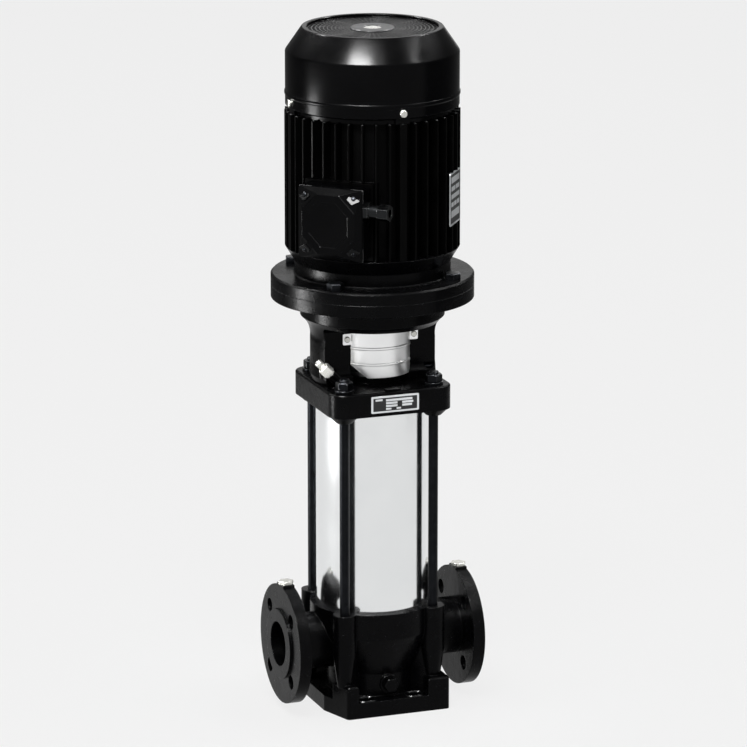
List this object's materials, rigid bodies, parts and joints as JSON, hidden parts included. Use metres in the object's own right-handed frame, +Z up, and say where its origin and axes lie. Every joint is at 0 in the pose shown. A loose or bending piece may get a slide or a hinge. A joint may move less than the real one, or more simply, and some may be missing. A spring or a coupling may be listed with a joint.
{
  "type": "vertical multistage pump",
  "caption": "Vertical in-line multistage pump: flanged cast base, steel sleeve with tie rods, clamp coupling behind sheet guards and a finned flange-mounted motor.",
  "frame": {"origin": "on the shaft axis at the underside of the foot", "axes": "+Z up along the shaft, +X towards the discharge flange (suction faces -X), -Y towards the rating plate of the pump"},
  "size_m": [0.25, 0.2622, 0.8546],
  "materials": {
    "cast_iron_black": "gloss black enamel over cast iron",
    "motor_black": "gloss black enamel over die-cast aluminium and sheet steel",
    "stainless": "polished stainless sheet",
    "zinc_steel": "zinc-plated steel",
    "dark_steel": "blackened steel",
    "steel": "machined steel",
    "inox_press": "pressed stainless steel",
    "rubber": "EPDM",
    "carbon": "seal carbon",
    "ceramic": "seal ceramic",
    "plate": "satin anodised plate",
    "laminations": "lacquered laminations",
    "copper": "enamelled copper in varnish",
    "black_plastic": "moulded polyamide",
    "brass": "nickel-plated brass"
  },
  "bodies": {
    "housing": {"pump_base": "cast_iron_black", "drain_plug": "zinc_steel", "gauge_plugs": "zinc_steel", "outer_sleeve": "stainless", "sleeve_o_rings": "rubber", "tie_rods": "dark_steel", "tie_rod_washers": "dark_steel", "tie_rod_nuts": "dark_steel", "pump_head": "cast_iron_black", "rating_plate": "plate", "vent_plug": "zinc_steel", "vent_screw": "zinc_steel", "seal_cover": "inox_press", "seal_seat": "ceramic", "suction_piece": "inox_press", "lower_bush": "carbon", "stage_chambers": "inox_press", "wear_rings": "black_plastic", "top_guide": "inox_press", "motor_stool": "cast_iron_black", "stool_screws": "dark_steel", "guard_front": "stainless", "guard_back": "stainless", "guard_screws": "zinc_steel", "drive_shield": "cast_iron_black", "motor_bolts": "dark_steel", "motor_frame": "motor_black", "tail_shield": "motor_black", "stator_core": "laminations", "stator_windings": "copper", "drive_bearing_outer_race": "steel", "tail_bearing_outer_race": "steel", "fan_cover": "motor_black", "fan_grille": "motor_black", "cover_screws": "zinc_steel", "terminal_box": "motor_black", "box_gasket": "rubber", "terminal_lid": "motor_black", "lid_screws": "zinc_steel", "terminal_board": "black_plastic", "cable_gland": "brass", "motor_plate": "plate"},
    "rotor": {"impellers": "inox_press", "pump_shaft": "steel", "shaft_nut": "steel", "stop_collar": "steel", "seal_ring": "carbon", "seal_spring": "steel", "seal_driver": "inox_press", "coupling_half_front": "steel", "coupling_half_back": "steel", "coupling_screws": "dark_steel", "coupling_pin": "steel", "rotor_core": "laminations", "motor_shaft": "steel", "drive_bearing_inner_race": "steel", "tail_bearing_inner_race": "steel", "motor_fan": "black_plastic"},
    "drive_cage": {"drive_bearing_balls": "steel"},
    "tail_cage": {"tail_bearing_balls": "steel"}
  },
  "joints": [
    {"name": "rotor_spin", "type": "hinge", "parent": "housing", "child": "rotor", "pos_m": [0, 0, 0.5], "axis": [0, 0, 1], "continuous": true},
    {"name": "drive_cage_spin", "type": "hinge", "parent": "housing", "child": "drive_cage", "pos_m": [0, 0, 0.5655], "axis": [0, 0, 1], "continuous": true},
    {"name": "tail_cage_spin", "type": "hinge", "parent": "housing", "child": "tail_cage", "pos_m": [0, 0, 0.753], "axis": [0, 0, 1], "continuous": true}
  ],
  "couplings": [
    {"joint": "drive_cage_spin", "follows": "rotor_spin", "ratio": 0.3786},
    {"joint": "tail_cage_spin", "follows": "rotor_spin", "ratio": 0.3958}
  ]
}
